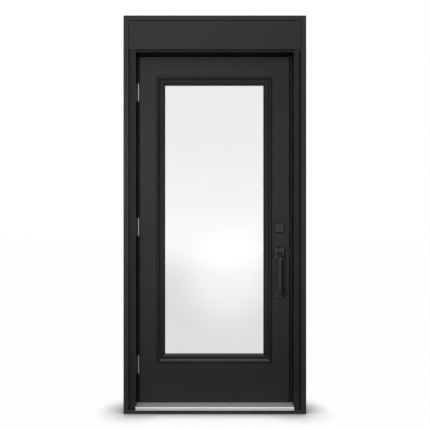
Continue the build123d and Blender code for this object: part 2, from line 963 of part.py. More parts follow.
def lock_case(height, radius, flat):
    """Tube with its faceplate, a way for the bolt and a hole for the turning shaft."""
    start = lock_x - tube_past_hub
    end = slab_right - faceplate_thickness
    case = rod_x(slab_middle, height, (start, end), tube_radius)
    case += faceplate(height, 0)
    case -= rod_x(slab_middle, height, (start - overrun, end), tube_bore_radius)
    case -= flattened_bar(radius + bolt_fit, flat + 2 * bolt_fit, height, (lock_x, slab_right + overrun))
    case -= rod_y(lock_x, height, (slab_front, slab_back), hub_hole_radius)
    for x, y, z in faceplate_screw_places():
        case -= wood_screw(x, y, z, -1, screw_fit)
    return case


def dead_bolt():
    """Bolt drawn back flush with its faceplate."""
    x_span = (slab_right - deadbolt_length, slab_right)
    bolt = flattened_bar(deadbolt_radius, deadbolt_flat, deadbolt_height, x_span)
    return chamfer(bolt.edges().group_by(Axis.X)[-1], deadbolt_chamfer)


def spring_latch():
    """Latch drawn back flush with its faceplate, bevelled on the inner side."""
    x_span = (slab_right - latch_length, slab_right)
    bolt = flattened_bar(latch_radius, latch_flat, latch_height, x_span)
    back = slab_middle + latch_flat / 2
    wedge = [(slab_right, back), (slab_right - latch_throw, back), (slab_right, back - latch_bevel)]
    face = make_face(Polyline(*wedge, close=True))
    return bolt - upright(face, (latch_height - latch_radius, latch_height + latch_radius))


def lock_post(x, z):
    """Hollow post on the back of the outer trim that takes a long bolt."""
    post = rod_y(x, z, (slab_front, slab_front + post_length), post_radius)
    start = slab_front + post_length - bolt_reach
    return post - rod_y(x, z, (start, slab_front + post_length + overrun), bolt_radius + screw_fit)


deadbolt_posts = [(lock_x, deadbolt_height + step * post_offset) for step in (-1, 1)]
handle_post_z = latch_height - handle_post_drop
handle_posts = [(lock_x + step * handle_post_across, handle_post_z) for step in (-1, 1)]


def outer_rosette():
    """Bevelled square trim round the key cylinder."""
    size = (rosette_size, rosette_size, rosette_depth)
    trim = tapered_block(deadbolt_height, *size, rosette_taper_angle)
    y_span = (slab_front - rosette_depth - overrun, slab_front + overrun)
    trim -= rod_y(lock_x, deadbolt_height, y_span, cylinder_radius + cylinder_fit)
    for x, z in deadbolt_posts:
        trim += lock_post(x, z)
    return trim


def key_cylinder():
    """Cylinder body with the bore of its plug."""
    y_span = (slab_front - rosette_depth - cylinder_proud, slab_front + cylinder_end)
    body = rod_y(lock_x, deadbolt_height, y_span, cylinder_radius)
    bore_span = (y_span[0] - overrun, y_span[1] + overrun)
    return body - rod_y(lock_x, deadbolt_height, bore_span, plug_radius + plug_fit)


def plug():
    """Turning plug with its keyway."""
    front = slab_front - rosette_depth - cylinder_proud - plug_proud
    body = rod_y(lock_x, deadbolt_height, (front, slab_front + cylinder_end), plug_radius)
    x_span = (lock_x - keyway_width / 2, lock_x + keyway_width / 2)
    z_span = (deadbolt_height - keyway_height / 2, deadbolt_height + keyway_height / 2)
    return body - block(x_span, (front - overrun, front + keyway_depth), z_span)


def trim_bolt(x, z, depth, extra):
    """Long bolt from the face of the inner trim into a post of the outer trim."""
    front = slab_front + post_length - bolt_reach
    face = slab_back + depth
    bolt = flat_screw(bolt_head_radius, bolt_head_height, bolt_radius, face - front - screw_fit, extra)
    return Pos(x, face, z) * Rot(-90, 0, 0) * bolt


def inner_rosette(height, depth, bore_radius, posts):
    """Bevelled square trim on the inner skin."""
    size = (rosette_size, rosette_size, depth)
    trim = to_inside(tapered_block(height, *size, rosette_taper_angle))
    trim -= rod_y(lock_x, height, (slab_back - overrun, slab_back + depth + overrun), bore_radius)
    for x, z in posts:
        trim -= trim_bolt(x, z, depth, screw_fit)
    return trim


def base_bolt():
    """Bolt from inside with a low round head that holds the grip's base."""
    start = slab_front + post_length - bolt_reach + screw_fit
    shank = rod_y(lock_x, grip_base_height, (start, slab_back), bolt_radius)
    head_span = (slab_back, slab_back + base_bolt_head_height)
    head = rod_y(lock_x, grip_base_height, head_span, base_bolt_head_radius)
    return shank + fillet(head.edges().group_by(Axis.Y)[-1], base_bolt_head_height / 2)


def turn_piece():
    """Inner turn with its wing upright while the bolt is drawn back."""
    face = slab_back + turn_rosette_depth
    shaft = rod_y(lock_x, deadbolt_height, (slab_back, face + turn_collar_depth), turn_shaft_radius)
    wing_x_span = (lock_x - turn_wing_thickness / 2, lock_x + turn_wing_thickness / 2)
    wing_z_span = (deadbolt_height - turn_wing_length / 2, deadbolt_height + turn_wing_length / 2)
    wing_start = face + turn_collar_depth
    wing = block(wing_x_span, (wing_start, wing_start + turn_wing_depth), wing_z_span)
    wing = fillet(wing.edges().filter_by(Axis.X), turn_wing_round)
    wing = fillet(wing.faces().sort_by(Axis.Y)[-1].edges(), turn_wing_round / 2)
    return shaft + wing


def blade():
    """Flat bar between the turn and the bolt's cam."""
    x_span = (lock_x - blade_thickness / 2, lock_x + blade_thickness / 2)
    z_span = (deadbolt_height - blade_width / 2, deadbolt_height + blade_width / 2)
    return block(x_span, (slab_front + cylinder_end + blade_clear, slab_back), z_span)


# Pull handle and knob

def thumb_lever():
    """Thumb piece held down: tongue, tail and the round stubs it rocks on."""
    half = thumb_width / 2
    tail_half = thumb_tail_width / 2
    points = [
        (-half, thumb_root_length),
        (-half, -thumb_length),
        (half, -thumb_length),
        (half, thumb_root_length),
        (tail_half, thumb_root_length),
        (tail_half, thumb_tail_length),
        (-tail_half, thumb_tail_length),
        (-tail_half, thumb_root_length),
    ]
    face = section(points, [0, thumb_round, thumb_round, 0, 0, 0, 0, 0])
    lever = Pos(0, 0, -thumb_thickness / 2) * extrude(face, amount=thumb_thickness)
    stub_half = half + thumb_trunnion_length
    lever += rod_x(0, 0, (-stub_half, stub_half), thumb_trunnion_radius)
    return Pos(lock_x, thumb_y, thumb_pivot_height) * Rot(thumb_pressed_angle, 0, 0) * lever


def plate_of_handle():
    """Plate with sloping sides, the thumb piece's slot and its bearings."""
    points = [
        (lock_x - handle_plate_width / 2, slab_front),
        (lock_x + handle_plate_width / 2, slab_front),
        (lock_x + handle_plate_face / 2, handle_front),
        (lock_x - handle_plate_face / 2, handle_front),
    ]
    face = section(points, [0, 0, trim_corner, trim_corner])
    plate = upright(face, (handle_plate_bottom, handle_plate_top))
    plate = chamfer(plate.faces().sort_by(Axis.Y)[0].edges().filter_by(Axis.X), handle_plate_edge)
    slot_half = thumb_width / 2 + thumb_slot_clear
    z_span = (thumb_pivot_height - thumb_slot_half, thumb_pivot_height + thumb_slot_half)
    y_span = (handle_front - overrun, slab_front + overrun)
    plate -= block((lock_x - slot_half, lock_x + slot_half), y_span, z_span)
    bearing_half = thumb_width / 2 + thumb_trunnion_length + thumb_slot_clear
    bearing_span = (lock_x - bearing_half, lock_x + bearing_half)
    plate -= rod_x(thumb_y, thumb_pivot_height, bearing_span, thumb_trunnion_radius + thumb_trunnion_fit)
    for x, z in handle_posts:
        plate += lock_post(x, z)
    return plate


def grip_section():
    """Section of the grip, with a narrow flat front and sloping sides."""
    points = [
        (-grip_back_width / 2, -grip_depth / 2),
        (grip_back_width / 2, -grip_depth / 2),
        (grip_front_width / 2, grip_depth / 2),
        (-grip_front_width / 2, grip_depth / 2),
    ]
    return section(points, [grip_round, grip_round, grip_round, grip_round])


def grip():
    """Bar bent from the handle plate down to its base."""
    standoff = slab_front - grip_standoff
    points = [
        (handle_front, grip_top),
        (standoff, grip_top),
        (standoff, grip_bottom),
        (grip_base_front, grip_bottom),
    ]
    path = Pos(lock_x, 0, 0) * (Plane.YZ * FilletPolyline(*points, radius=grip_bend))
    start = Plane(origin=path @ 0, x_dir=(1, 0, 0), z_dir=path % 0)
    return sweep(start * grip_section(), path=path)


def base_of_grip():
    """Bevelled block at the lower end of the grip, with the post that its bolt holds."""
    tall = grip_base_top - grip_base_bottom
    size = (grip_base_width, tall, grip_base_depth)
    piece = tapered_block(grip_base_height, *size, grip_base_taper_angle)
    end = slab_front + post_length
    post = rod_y(lock_x, grip_base_height, (slab_front, end), base_post_radius)
    bore_span = (end - bolt_reach, end + overrun)
    post -= rod_y(lock_x, grip_base_height, bore_span, bolt_radius + screw_fit)
    return piece + post


def knob():
    """Turned knob with its shank."""
    start = slab_back + knob_inset
    points = [(0, 0), (knob_shank_radius, 0), (knob_shank_radius, knob_neck)]
    points += [(across * knob_radius, along * knob_length) for across, along, turn in knob_shares]
    radii = [0, 0, knob_neck_round] + [turn * knob_radius for across, along, turn in knob_shares]
    turned = revolve(section(points, radii), axis=Axis.Y)
    return Pos(lock_x, start, latch_height) * turned


def spindle():
    """Square bar from the knob through the latch's hub."""
    x_span = (lock_x - spindle_size / 2, lock_x + spindle_size / 2)
    z_span = (latch_height - spindle_size / 2, latch_height + spindle_size / 2)
    return block(x_span, (slab_middle - spindle_past_hub, slab_back + knob_inset), z_span)


strike_rows = ((latch_height, latch_strike_height), (deadbolt_height, deadbolt_strike_height))
seal_x_span = (hinge_pocket + seal_set + seal_width, strike_pocket - seal_set - seal_width)

posts = plain_jamb(hinge_pocket, -1) + plain_jamb(strike_pocket, 1)
bands = band_ring()
mitre_wedge = band_mitre()
holes_in_leaf = leaf_holes()
outer_pan = skin_pan()
frame_knuckles = range(0, knuckle_count, 2)
door_knuckles = range(1, knuckle_count, 2)
outer_ring = lite_ring()
inner_ring = to_inside(outer_ring)
for screw_x, screw_z in lite_screw_places():
    outer_ring -= lite_screw(screw_x, screw_z, screw_fit)
    inner_ring -= lite_screw(screw_x, screw_z, screw_fit)

turn_bore = turn_shaft_radius + turn_shaft_fit
knob_bore = knob_shank_radius + knob_shank_fit
left_edge_span = (slab_left + skin_thickness, slab_left + stile_width)
right_edge_span = (slab_right - stile_width, slab_right - skin_thickness)

pieces = {
    "hinge_jamb": hinge_post(),
    "strike_jamb": strike_post(),
    "head_jamb": head_rail(),
    "sill_base": base_board(),
    "sill_cover": tread_cover(),
    "sill_seal": ridge_seal(),
    "left_band": (bands - mitre_wedge) & side_half(-1),
    "right_band": (bands - mitre_wedge) & side_half(1),
    "top_band": bands & mitre_wedge,
    "left_moulding": side_moulding(-1),
    "right_moulding": side_moulding(1),
    "head_moulding": head_moulding_piece(),
    "head_panel": panel_board(),
    "hinge_weatherstrip": side_seal(hinge_pocket, 1),
    "strike_weatherstrip": side_seal(strike_pocket, -1),
    "head_weatherstrip": head_seal(),
    "latch_strike": strike(latch_height, latch_strike_height),
    "deadbolt_strike": strike(deadbolt_height, deadbolt_strike_height),
    "outer_skin": outer_pan - holes_in_leaf,
    "inner_skin": to_inside(outer_pan) - holes_in_leaf,
    "foam_core": core(),
    "hinge_stile": stile(left_edge_span, 0) - holes_in_leaf,
    "lock_stile": stile(right_edge_span, -1) - holes_in_leaf,
    "top_rail": rail((slab_top - rail_height, slab_top)),
    "bottom_rail": rail((slab_lift, slab_lift + rail_height)),
    "lock_block": block_behind_locks() - holes_in_leaf,
    "outer_lite_frame": outer_ring,
    "inner_lite_frame": inner_ring,
    "outer_pane": pane(glass_front),
    "inner_pane": pane(glass_back - pane_thickness),
    "glass_spacer": spacer(),
    "door_sweep": sweep_strip(),
    "deadbolt_rosette": outer_rosette(),
    "deadbolt_cylinder": key_cylinder(),
    "turn_rosette": inner_rosette(deadbolt_height, turn_rosette_depth, turn_bore, deadbolt_posts),
    "deadbolt_case": lock_case(deadbolt_height, deadbolt_radius, deadbolt_flat),
    "latch_case": lock_case(latch_height, latch_radius, latch_flat),
    "handle_plate": plate_of_handle(),
    "handle_grip": grip(),
    "grip_base": base_of_grip(),
    "knob_rosette": inner_rosette(latch_height, knob_rosette_depth, knob_bore, handle_posts),
    "thumbturn": turn_piece(),
    "turn_blade": blade(),
    "key_plug": plug(),
    "deadbolt": dead_bolt(),
    "thumb_piece": thumb_lever(),
    "inner_knob": knob(),
    "knob_spindle": spindle(),
    "latch_bolt": spring_latch(),
}

for hinge_name, hinge_z in zip(("top", "middle", "bottom"), hinge_heights):
    frame_leaf = hinge_leaf(hinge_z, frame_knuckles, hinge_pocket, -1)
    door_leaf = hinge_leaf(hinge_z, door_knuckles, door_leaf_face, 1)
    pieces[f"{hinge_name}_hinge_frame_leaf"] = frame_leaf
    pieces[f"{hinge_name}_hinge_door_leaf"] = door_leaf

# Identical fasteners that share one node
hinge_frame_screws = [wood_screw(*place, -1, 0) for place in hinge_screw_places(hinge_pocket)]
strike_screws = [wood_screw(*place, 1, 0) for place in strike_screw_places()]
hinge_door_screws = [wood_screw(*place, 1, 0) for place in hinge_screw_places(door_leaf_face)]
faceplate_screws = [wood_screw(*place, -1, 0) for place in faceplate_screw_places()]
turn_bolts = [trim_bolt(x, z, turn_rosette_depth, 0) for x, z in deadbolt_posts]
knob_bolts = [trim_bolt(x, z, knob_rosette_depth, 0) for x, z in handle_posts]
groups = {
    "hinge_pins": [hinge_pin(height) for height in hinge_heights],
    "frame_screws": hinge_frame_screws + strike_screws,
    "leaf_screws": hinge_door_screws + faceplate_screws,
    "lite_screws": [lite_screw(x, z, 0) for x, z in lite_screw_places()],
    "lock_bolts": turn_bolts + knob_bolts + [base_bolt()],
}

for name, piece in pieces.items():
    export_step(piece, f"parts/{name}.step")
for name, members in groups.items():
    export_step(Compound(children=members), f"parts/{name}.step")
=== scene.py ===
import math

import bmesh
import bpy
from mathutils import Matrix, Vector


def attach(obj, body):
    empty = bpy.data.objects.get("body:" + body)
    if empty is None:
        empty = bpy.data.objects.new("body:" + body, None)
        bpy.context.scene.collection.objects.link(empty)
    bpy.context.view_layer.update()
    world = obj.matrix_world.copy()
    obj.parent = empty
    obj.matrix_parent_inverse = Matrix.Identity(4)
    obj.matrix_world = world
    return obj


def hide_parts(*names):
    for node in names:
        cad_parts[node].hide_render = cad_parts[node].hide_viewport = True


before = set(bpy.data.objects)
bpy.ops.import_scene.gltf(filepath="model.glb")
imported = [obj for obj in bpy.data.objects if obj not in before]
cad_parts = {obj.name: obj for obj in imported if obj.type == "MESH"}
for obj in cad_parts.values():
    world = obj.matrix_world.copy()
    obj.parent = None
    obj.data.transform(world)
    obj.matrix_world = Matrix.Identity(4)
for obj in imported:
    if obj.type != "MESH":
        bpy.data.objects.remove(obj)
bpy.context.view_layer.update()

# The camera stands square to the door, in metres.
CAMERA_PLACE = (0.0009, -3.542, 1.088)
SENSOR_WIDTH = 36.0
IMAGE_PIXELS = 430
FOCAL_PIXELS = 600
HORIZON_PIXELS_BELOW_MIDDLE = 13

# Light: radiance of 1 is white.
WHITE = (1.0, 1.0, 1.0, 1.0)
ROOM_LEVEL = 0.12
# The bright side of the room, which gloss mirrors: its direction, the cosines between which it
# fades, and its levels.
BRIGHT_SIDE = (0.0, -0.998, 0.06)
BRIGHT_FADE = (0.55, 0.97)
BRIGHT_LEVELS = (0.3, 1.35)
# Each softbox: place, aim, width and height, radiance.
KEY_SOFTBOX = ((-0.75, -2.3, 1.75), (-0.25, 0.0, 1.2), (0.7, 0.7), 34.5)
TOP_SOFTBOX = ((0.0, -1.5, 3.8), (0.0, -1.45, 0.0), (2.4, 2.4), 6.0)
BACK_SOFTBOX = ((0.9, 2.8, 2.3), (0.0, 0.0, 1.2), (1.6, 1.6), 8.0)

# Floor: half its width and how far it lies under the sill. Fades are distances behind or in front
# of the door in metres, and glows are shares of white for each kind of ray.
FLOOR_HALF = 60.0
FLOOR_DROP = 0.0006
FLOOR_GLOW_SEEN = 0.99
# Glow shares below 1 let the dim matt floor show, which paints shade on it: behind the door, fading out by
# 18 m, for rays through the glass, and from 0.4 m in front of the door outward for mirrored rays, as
# painted shade in reflections.
FLOOR_GLOW_NEAR = 0.835
FLOOR_FADE = (2.5, 18.0)
FLOOR_FRONT_FADE = (0.0, 0.5)
FLOOR_MIRRORED = (0.04, 0.7)
FLOOR_MIRRORED_FADE = (0.5, 2.2)
FLOOR_MIRRORED_NEAR = 0.95
FLOOR_NEAR_FADE = (0.2, 0.4)
# The contact shadow: how far from the sill it reaches, and how steeply it falls.
CONTACT_REACH = 0.21
CONTACT_POWER = 3.5

# Two glowing cards, which the glass mirrors: a long band and a round one under its middle.
BAND_PLACE = (0.0, -4.6, 0.924)
BAND_HALF = 2.4
BAND_RISE = 1.776
BAND_DROP = 0.48
BAND_FALL_POWER = 1.7
BAND_LEVEL = 1.0
BAND_END_FADE = (0.6, 1.0)
ROUND_PLACE = (0.131, -2.0, 0.584)
ROUND_HALF = 0.6
ROUND_LEVEL = 1.3
ROUND_EDGE_FADE = (0.0, 0.8)
# A ray that has crossed fewer faces of glass than the first number comes from the outermost face,
# and one that has crossed more than the second has passed both panes. Rays from the outer pane's
# back stand for those from all three inner faces.
FIRST_FACE_DEPTH = 0.5
BOTH_PANES_DEPTH = 3.5
INNER_FACES = 3

# Screws: the sides of a round, a multiple of four, and the recess as shares of the head's radius.
SCREW_SIDES = 28
RECESS_ARMS = 4
RECESS_REACH_SHARE = 0.575
RECESS_HALF_WIDTH_SHARE = 0.13
RECESS_DEPTH_SHARE = 0.34
SPIN_SEED = 7
MERGE_DISTANCE = 1e-6
# How near a point lies to a screw's end to count as part of it.
END_REACH = 1e-5
# Sizes are rounded to a hundredth of a millimetre, so that each run makes the same screws.
MEASURE_DIGITS = 5

PAINTED_STEEL = ("outer_skin", "inner_skin")
PAINTED_POSTS = ("hinge_jamb", "strike_jamb")
PAINTED_HEAD = ("head_jamb", "head_moulding")
UPRIGHT_CASING = ("left_band", "right_band")
UPRIGHT_MOULDINGS = ("left_moulding", "right_moulding")
LEVEL_CASING = ("top_band", "head_panel")
GLAZING_FRAMES = ("outer_lite_frame", "inner_lite_frame")
PANES = ("outer_pane", "inner_pane")
SEALS = ("sill_seal", "hinge_weatherstrip", "strike_weatherstrip", "head_weatherstrip", "door_sweep")
PAINTED_STILES = ("hinge_stile", "lock_stile")
LEVEL_TIMBER = ("top_rail", "bottom_rail")
HINGES = tuple(
    f"{place}_hinge_{side}_leaf" for place in ("top", "middle", "bottom") for side in ("frame", "door")
)
LOCK_STEEL = (
    "hinge_pins", "deadbolt_case", "latch_case", "lock_bolts",
    "turn_blade", "deadbolt", "knob_spindle", "latch_bolt", "glass_spacer",
)
HARDWARE = (
    "deadbolt_rosette", "deadbolt_cylinder", "turn_rosette", "handle_plate", "handle_grip",
    "grip_base", "latch_strike", "deadbolt_strike", "knob_rosette", "thumbturn", "key_plug",
    "thumb_piece", "inner_knob",
)
SCREW_SETS = (("frame_screws", "frame"), ("leaf_screws", "leaf"), ("lite_screws", "leaf"))

# In the materials, levels are linear greys, noise scales are in waves per metre after the stretch,
# and bump distances are in metres. Gloss is a roughness and what the noise adds to it.
UNSTRETCHED = (1.0, 1.0, 1.0)
PAINT_CLOUD_SHARES = (0.85, 1.15)
STEEL_CLOUD_SHARES = (0.88, 1.08)
STEEL_WARMTH = 0.01


class Tap:
    """A socket in a node tree. Arithmetic on it adds Math nodes to that tree."""

    def __init__(self, tree, socket=None):
        self.tree = tree
        self.socket = socket

    def make(self, kind, settings=None, sockets=None, out=0):
        """Adds any node: its settings first, then the values or links of its sockets."""
        node = self.tree.nodes.new(kind)
        for name, value in (settings or {}).items():
            setattr(node, name, value)
        for key, value in (sockets or {}).items():
            if isinstance(value, Tap):
                self.tree.links.new(value.socket, node.inputs[key])
            else:
                node.inputs[key].default_value = value
        return Tap(self.tree, node.outputs[out] if node.outputs else None)

    def math(self, operation, first, second):
        return self.make("ShaderNodeMath", {"operation": operation}, {0: first, 1: second})

    def __add__(self, other):
        return self.math("ADD", self, other)

    def __radd__(self, other):
        return self.math("ADD", other, self)

    def __sub__(self, other):
        return self.math("SUBTRACT", self, other)

    def __rsub__(self, other):
        return self.math("SUBTRACT", other, self)

    def __mul__(self, other):
        return self.math("MULTIPLY", self, other)

    def __pow__(self, other):
        return self.math("POWER", self, other)


def new_material(name):
    """An empty material and a tap on its tree."""
    material = bpy.data.materials.new(name)
    material.use_nodes = True
    material.node_tree.nodes.clear()
    return material, Tap(material.node_tree)


def show(tap, shader):
    tap.make("ShaderNodeOutputMaterial", None, {"Surface": shader})


def at_scale(tap, scale):
    """Object coordinates, stretched."""
    place = tap.make("ShaderNodeTexCoord", out="Object")
    return tap.make("ShaderNodeMapping", None, {"Vector": place, "Scale": scale})


def noise(tap, place, scale, detail, roughness=0.5):
    return tap.make(
        "ShaderNodeTexNoise", None,
        {"Vector": place, "Scale": scale, "Detail": detail, "Roughness": roughness},
    )


def between(tap, share, low, high):
    """Colour that runs from low to high; 6, 7 and 2 are the node's sockets for colours."""
    return tap.make("ShaderNodeMix", {"data_type": "RGBA"}, {0: share, 6: low, 7: high}, out=2)


def bump(tap, height, strength, distance):
    return tap.make("ShaderNodeBump", None, {"Height": height, "Strength": strength, "Distance": distance})


def principled(tap, **sockets):
    return tap.make(
        "ShaderNodeBsdfPrincipled", None, {name.replace("_", " "): value for name, value in sockets.items()}
    )


def grey(level, warmth=0.0):
    return (level * (1 + warmth), level, level * (1 - warmth), 1.0)


def sprayed_paint(name, level, roughness, specular, peel):
    """Sprayed satin black with a fine orange peel and faint handling marks."""
    material, tap = new_material(name)
    place = at_scale(tap, UNSTRETCHED)
    cloud = noise(tap, place, scale=2.5, detail=4.0)
    peel_height = noise(tap, place, scale=520.0, detail=2.0)
    colour = between(tap, cloud, *(grey(level * share) for share in PAINT_CLOUD_SHARES))
    marks = noise(tap, place, scale=60.0, detail=3.0)
    gloss = roughness - 0.04 + cloud * 0.08 + marks * 0.03
    normal = bump(tap, peel_height, strength=peel, distance=0.0004)
    show(tap, principled(
        tap, Base_Color=colour, Roughness=gloss, Specular_IOR_Level=specular, Normal=normal,
    ))
    return material


def brushed_paint(name, level, along, specular=0.1, roughness=0.3, grain=0.08):
    """Black paint over timber, with the grain just telegraphing through along one axis."""
    material, tap = new_material(name)
    stretch = {"x": (5.0, 160.0, 160.0), "z": (160.0, 160.0, 5.0)}[along]
    lines = noise(tap, at_scale(tap, stretch), scale=1.0, detail=5.0, roughness=0.6)
    place = at_scale(tap, UNSTRETCHED)
    cloud = noise(tap, place, scale=3.0, detail=4.0)
    peel_height = noise(tap, place, scale=420.0, detail=2.0)
    colour = between(tap, cloud, *(grey(level * share) for share in PAINT_CLOUD_SHARES))
    gloss = roughness - 0.04 + lines * 0.05 + cloud * 0.05
    normal = bump(tap, lines + peel_height * 0.35, strength=grain, distance=0.0005)
    show(tap, principled(
        tap, Base_Color=colour, Roughness=gloss, Specular_IOR_Level=specular, Normal=normal,
    ))
    return material


def moulded_frame():
    """Moulded glazing frame with the fine even grain of its tool."""
    material, tap = new_material("glazing_frame_black")
    place = at_scale(tap, UNSTRETCHED)
    cloud = noise(tap, place, scale=4.0, detail=3.0)
    pores = tap.make("ShaderNodeTexVoronoi", None, {"Vector": place, "Scale": 900.0})
    colour = between(tap, cloud, grey(0.008), grey(0.011))
    gloss = 0.26 + cloud * 0.06
    show(tap, principled(
        tap, Base_Color=colour, Roughness=gloss, Specular_IOR_Level=0.15,
        Normal=bump(tap, pores, strength=0.08, distance=0.0003),
    ))
    return material


def hardware_coat():
    """Powder coat on the lock and handle: fine texture and faint rubbing where hands go."""
    material, tap = new_material("hardware_black")
    place = at_scale(tap, UNSTRETCHED)
    rub = noise(tap, place, scale=22.0, detail=5.0, roughness=0.6)
    specks = noise(tap, place, scale=1600.0, detail=2.0)
    colour = between(tap, rub, grey(0.027), grey(0.036))
    gloss = 0.3 + rub * 0.12
    show(tap, principled(
        tap, Base_Color=colour, Roughness=gloss, Specular_IOR_Level=0.17,
        Normal=bump(tap, specks, strength=0.12, distance=0.0002),
    ))
    return material


def brushed_aluminium():
    """Mill-finish aluminium with drawing lines along the sill."""
    material, tap = new_material("sill_aluminium")
    lines = noise(tap, at_scale(tap, (3.0, 900.0, 900.0)), scale=1.0, detail=4.0, roughness=0.6)
    scuffs = noise(tap, at_scale(tap, UNSTRETCHED), scale=30.0, detail=5.0, roughness=0.65)
    colour = between(tap, lines, grey(0.53), grey(0.63))
    gloss = 0.55 + lines * 0.1 + scuffs * 0.08
    show(tap, principled(
        tap, Base_Color=colour, Metallic=1.0, Roughness=gloss,
        Normal=bump(tap, lines, strength=0.12, distance=0.0002),
    ))
    return material


def satin_steel(name, level, roughness, along):
    """Satin steel with its brushing along one axis and faint handling stains."""
    material, tap = new_material(name)
    stretch = {"y": (1300.0, 12.0, 1300.0), "z": (1300.0, 1300.0, 12.0)}[along]
    lines = noise(tap, at_scale(tap, stretch), scale=1.0, detail=4.0, roughness=0.6)
    stains = noise(tap, at_scale(tap, UNSTRETCHED), scale=45.0, detail=4.0, roughness=0.6)
    ends = (grey(level * share, STEEL_WARMTH) for share in STEEL_CLOUD_SHARES)
    colour = between(tap, lines * 0.7 + stains * 0.3, *ends)
    gloss = roughness - 0.05 + lines * 0.1 + stains * 0.06
    show(tap, principled(
        tap, Base_Color=colour, Metallic=1.0, Roughness=gloss,
        Normal=bump(tap, lines, strength=0.1, distance=0.0001),
    ))
    return material


def seal_rubber():
    """Matt extruded rubber with a dusty bloom."""
    material, tap = new_material("seal_rubber")
    place = at_scale(tap, UNSTRETCHED)
    bloom = noise(tap, place, scale=35.0, detail=5.0, roughness=0.6)
    specks = noise(tap, place, scale=1200.0, detail=2.0)
    colour = between(tap, bloom, grey(0.008), grey(0.02))
    show(tap, principled(
        tap, Base_Color=colour, Roughness=0.62 + bloom * 0.2, Specular_IOR_Level=0.3,
        Normal=bump(tap, specks, strength=0.15, distance=0.0002),
    ))
    return material


def sill_composite():
    """Black moulded base of the sill with a dull pebbled face."""
    material, tap = new_material("sill_composite")
    place = at_scale(tap, UNSTRETCHED)
    cloud = noise(tap, place, scale=9.0, detail=4.0)
    pebbles = tap.make("ShaderNodeTexVoronoi", None, {"Vector": place, "Scale": 500.0})
    colour = between(tap, cloud, grey(0.028), grey(0.036))
    show(tap, principled(
        tap, Base_Color=colour, Roughness=0.5 + cloud * 0.12, Specular_IOR_Level=0.2,
        Normal=bump(tap, pebbles, strength=0.15, distance=0.0003),
    ))
    return material


def bare_timber(name, along):
    """Pale softwood edge frame with growth lines and fine fibres."""
    material, tap = new_material(name)
    stretch = {"x": (0.9, 22.0, 22.0), "z": (22.0, 22.0, 0.9)}[along]
    fine = {"x": (12.0, 700.0, 700.0), "z": (700.0, 700.0, 12.0)}[along]
    growth = tap.make(
        "ShaderNodeTexWave", {"wave_type": "RINGS", "rings_direction": along.upper()},
        {"Vector": at_scale(tap, stretch), "Scale": 1.6, "Distortion": 3.0, "Detail": 3.0},
    )
    fibres = noise(tap, at_scale(tap, fine), scale=1.0, detail=4.0, roughness=0.6)
    colour = between(
        tap, growth * 0.7 + fibres * 0.3, (0.58, 0.4, 0.23, 1.0), (0.42, 0.26, 0.13, 1.0)
    )
    show(tap, principled(
        tap, Base_Color=colour, Roughness=0.6 + fibres * 0.2,
        Normal=bump(tap, fibres, strength=0.25, distance=0.0003),
    ))
    return material


def poured_foam():
    """Cream poured foam with open cells."""
    material, tap = new_material("door_foam")
    place = at_scale(tap, UNSTRETCHED)
    cells = tap.make("ShaderNodeTexVoronoi", None, {"Vector": place, "Scale": 1100.0})
    cloud = noise(tap, place, scale=14.0, detail=4.0)
    colour = between(tap, cloud, (0.78, 0.66, 0.42, 1.0), (0.86, 0.77, 0.55, 1.0))
    show(tap, principled(
        tap, Base_Color=colour, Roughness=0.85 + cloud * 0.1,
        Normal=bump(tap, cells, strength=0.5, distance=0.0006),
    ))
    return material


def pane_glass():
    """Clear float glass with a slight grey cast; lamps shine through it."""
    material, tap = new_material("pane_glass")
    place = at_scale(tap, UNSTRETCHED)
    film = noise(tap, place, scale=5.0, detail=4.0)
    glass = principled(
        tap, Base_Color=between(tap, film, grey(0.905), grey(0.915)), Roughness=film * 0.01,
        Transmission_Weight=1.0, IOR=1.45,
    )
    clear = tap.make("ShaderNodeBsdfTransparent", None, {"Color": grey(0.9)})
    shadow_ray = tap.make("ShaderNodeLightPath", out="Is Shadow Ray")
    show(tap, tap.make("ShaderNodeMixShader", None, {0: shadow_ray, 1: glass, 2: clear}))
    return material


def kinds_of_ray(tap):
    """1 or 0 for rays from the camera, through glass, and mirrored in a gloss."""
    camera_ray = tap.make("ShaderNodeLightPath", out="Is Camera Ray")
    through_ray = tap.make("ShaderNodeLightPath", out="Is Transmission Ray")
    glossy_ray = tap.make("ShaderNodeLightPath", out="Is Glossy Ray")
    return camera_ray, through_ray, glossy_ray * (1 - through_ray)


def fading(tap, value, limits, levels, kind="SMOOTHSTEP"):
    """Run from the first level to the second as a value passes between two limits."""
    return tap.make("ShaderNodeMapRange", {"interpolation_type": kind}, {
        "Value": value, "From Min": limits[0], "From Max": limits[1],
        "To Min": levels[0], "To Max": levels[1],
    })


